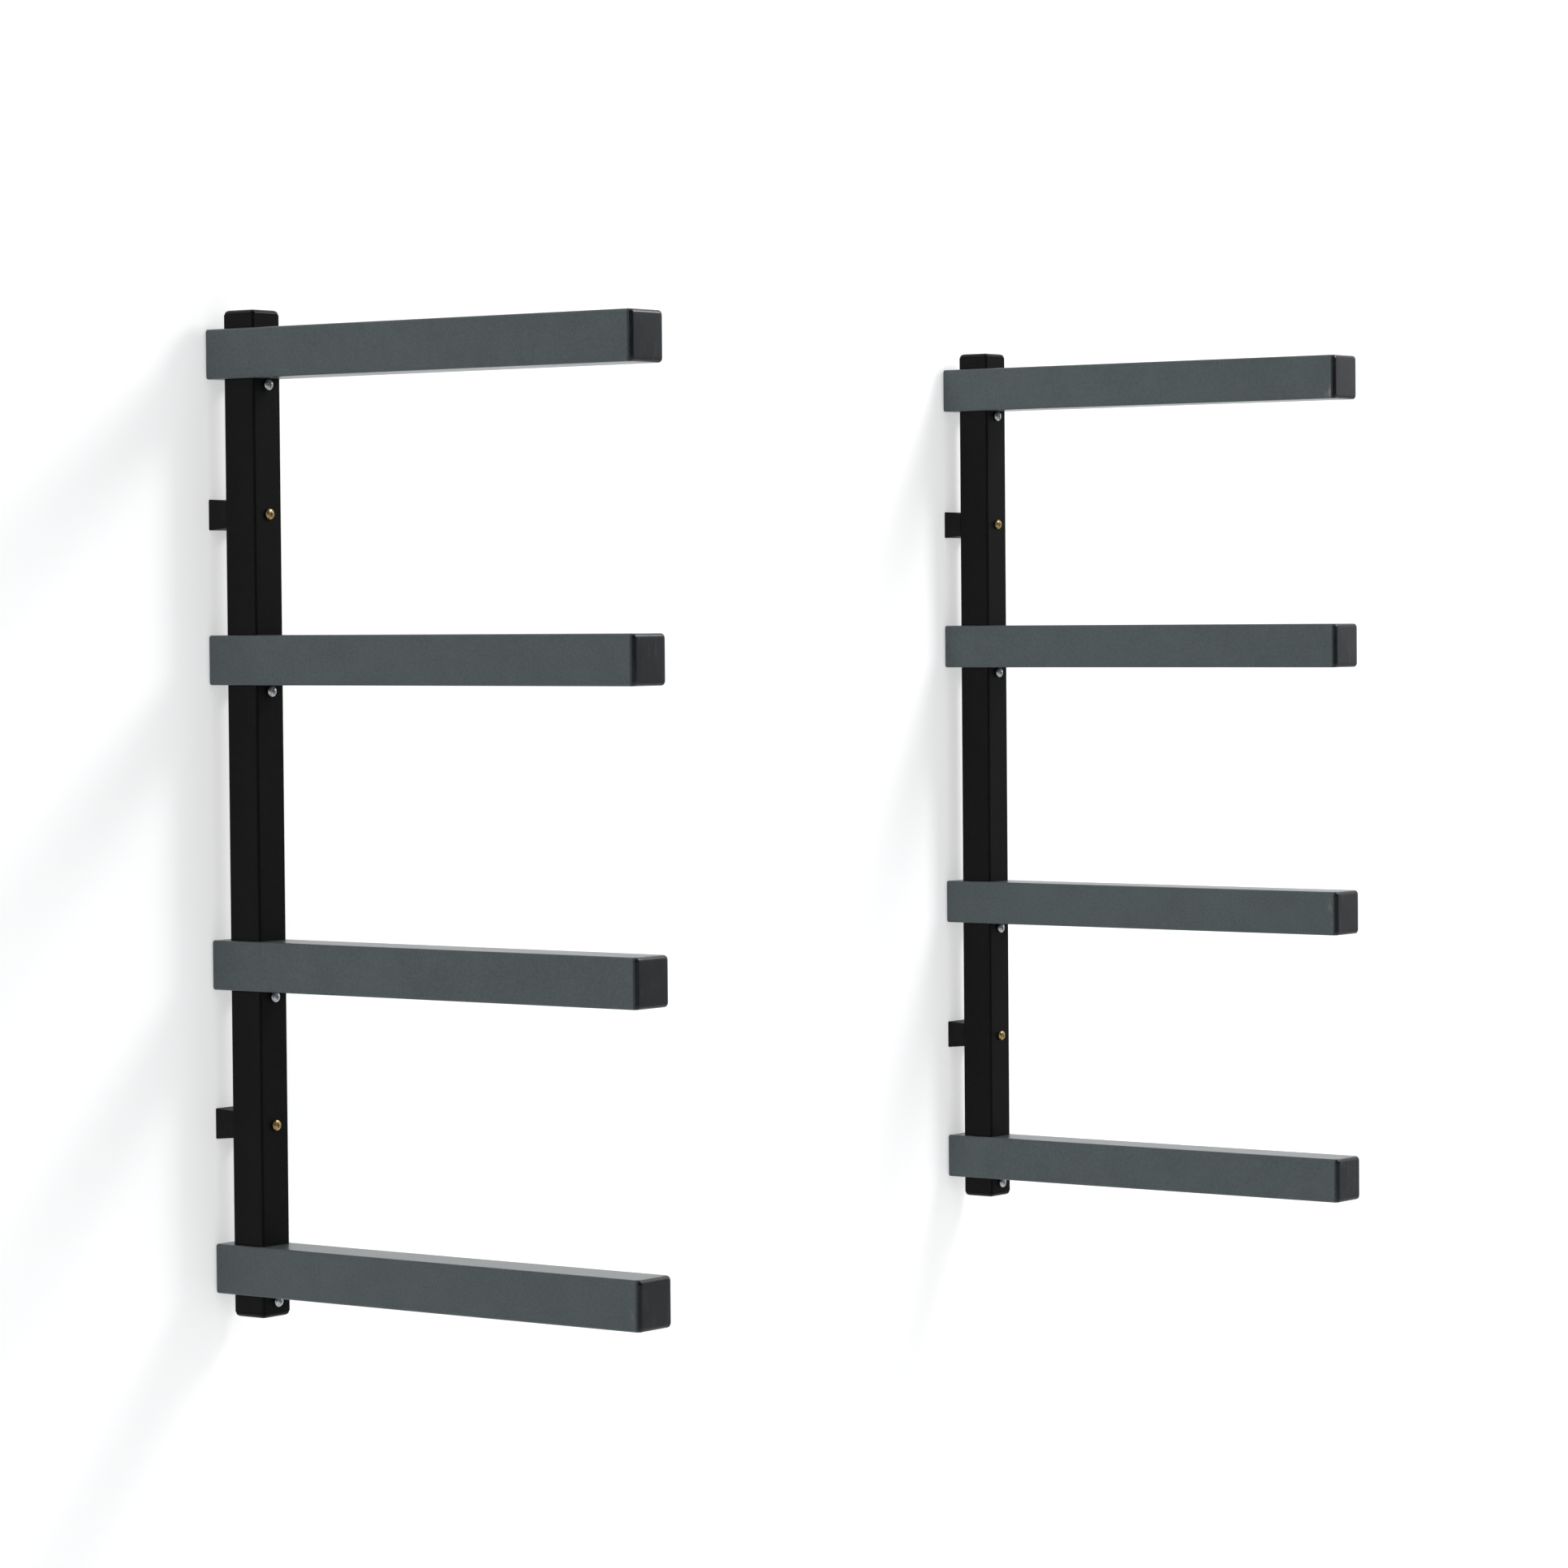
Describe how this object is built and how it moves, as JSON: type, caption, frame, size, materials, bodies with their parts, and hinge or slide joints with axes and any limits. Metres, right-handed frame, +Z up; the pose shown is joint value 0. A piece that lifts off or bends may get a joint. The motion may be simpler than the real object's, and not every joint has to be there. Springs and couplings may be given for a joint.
{
  "type": "wall tyre storage rack",
  "caption": "Wall rack of square posts with loose cantilever arms that lift off stop bolts, for tyres laid across them.",
  "frame": {"origin": "on the wall plane, midway between the two posts and halfway up them", "axes": "+X along the wall, +Y into the wall, arms point to -Y, +Z up"},
  "size_m": [1.345, 0.589, 1.009],
  "materials": {
    "post": "satin black powder coat",
    "arm": "semi-gloss slate grey powder coat with a fine texture",
    "cap": "moulded charcoal plastic",
    "spacer": "moulded black plastic",
    "zinc": "bright zinc plate",
    "yellow_zinc": "yellow zinc plate"
  },
  "bodies": {
    "wall_frame": {"left_post": "post", "left_post_top_cap": "cap", "left_post_bottom_cap": "cap", "left_stop_bolt_1": "zinc", "left_stop_nut_1": "zinc", "left_stop_bolt_2": "zinc", "left_stop_nut_2": "zinc", "left_stop_bolt_3": "zinc", "left_stop_nut_3": "zinc", "left_stop_bolt_4": "zinc", "left_stop_nut_4": "zinc", "left_upper_wall_screw": "yellow_zinc", "left_upper_wall_spacer": "spacer", "left_lower_wall_screw": "yellow_zinc", "left_lower_wall_spacer": "spacer", "right_post": "post", "right_post_top_cap": "cap", "right_post_bottom_cap": "cap", "right_stop_bolt_1": "zinc", "right_stop_nut_1": "zinc", "right_stop_bolt_2": "zinc", "right_stop_nut_2": "zinc", "right_stop_bolt_3": "zinc", "right_stop_nut_3": "zinc", "right_stop_bolt_4": "zinc", "right_stop_nut_4": "zinc", "right_upper_wall_screw": "yellow_zinc", "right_upper_wall_spacer": "spacer", "right_lower_wall_screw": "yellow_zinc", "right_lower_wall_spacer": "spacer"},
    "left_arm_1": {"left_arm_1": "arm", "left_arm_1_end_cap": "cap"},
    "left_arm_2": {"left_arm_2": "arm", "left_arm_2_end_cap": "cap"},
    "left_arm_3": {"left_arm_3": "arm", "left_arm_3_end_cap": "cap"},
    "left_arm_4": {"left_arm_4": "arm", "left_arm_4_end_cap": "cap"},
    "right_arm_1": {"right_arm_1": "arm", "right_arm_1_end_cap": "cap"},
    "right_arm_2": {"right_arm_2": "arm", "right_arm_2_end_cap": "cap"},
    "right_arm_3": {"right_arm_3": "arm", "right_arm_3_end_cap": "cap"},
    "right_arm_4": {"right_arm_4": "arm", "right_arm_4_end_cap": "cap"}
  },
  "joints": [
    {"name": "left_arm_1_lift", "type": "slide", "parent": "wall_frame", "child": "left_arm_1", "axis": [0, 0, 1], "range_m": [0, 0.07]},
    {"name": "left_arm_2_lift", "type": "slide", "parent": "wall_frame", "child": "left_arm_2", "axis": [0, 0, 1], "range_m": [0, 0.105]},
    {"name": "left_arm_3_lift", "type": "slide", "parent": "wall_frame", "child": "left_arm_3", "axis": [0, 0, 1], "range_m": [0, 0.243]},
    {"name": "left_arm_4_lift", "type": "slide", "parent": "wall_frame", "child": "left_arm_4", "axis": [0, 0, 1], "range_m": [0, 0.105]},
    {"name": "right_arm_1_lift", "type": "slide", "parent": "wall_frame", "child": "right_arm_1", "axis": [0, 0, 1], "range_m": [0, 0.07]},
    {"name": "right_arm_2_lift", "type": "slide", "parent": "wall_frame", "child": "right_arm_2", "axis": [0, 0, 1], "range_m": [0, 0.105]},
    {"name": "right_arm_3_lift", "type": "slide", "parent": "wall_frame", "child": "right_arm_3", "axis": [0, 0, 1], "range_m": [0, 0.243]},
    {"name": "right_arm_4_lift", "type": "slide", "parent": "wall_frame", "child": "right_arm_4", "axis": [0, 0, 1], "range_m": [0, 0.105]}
  ]
}
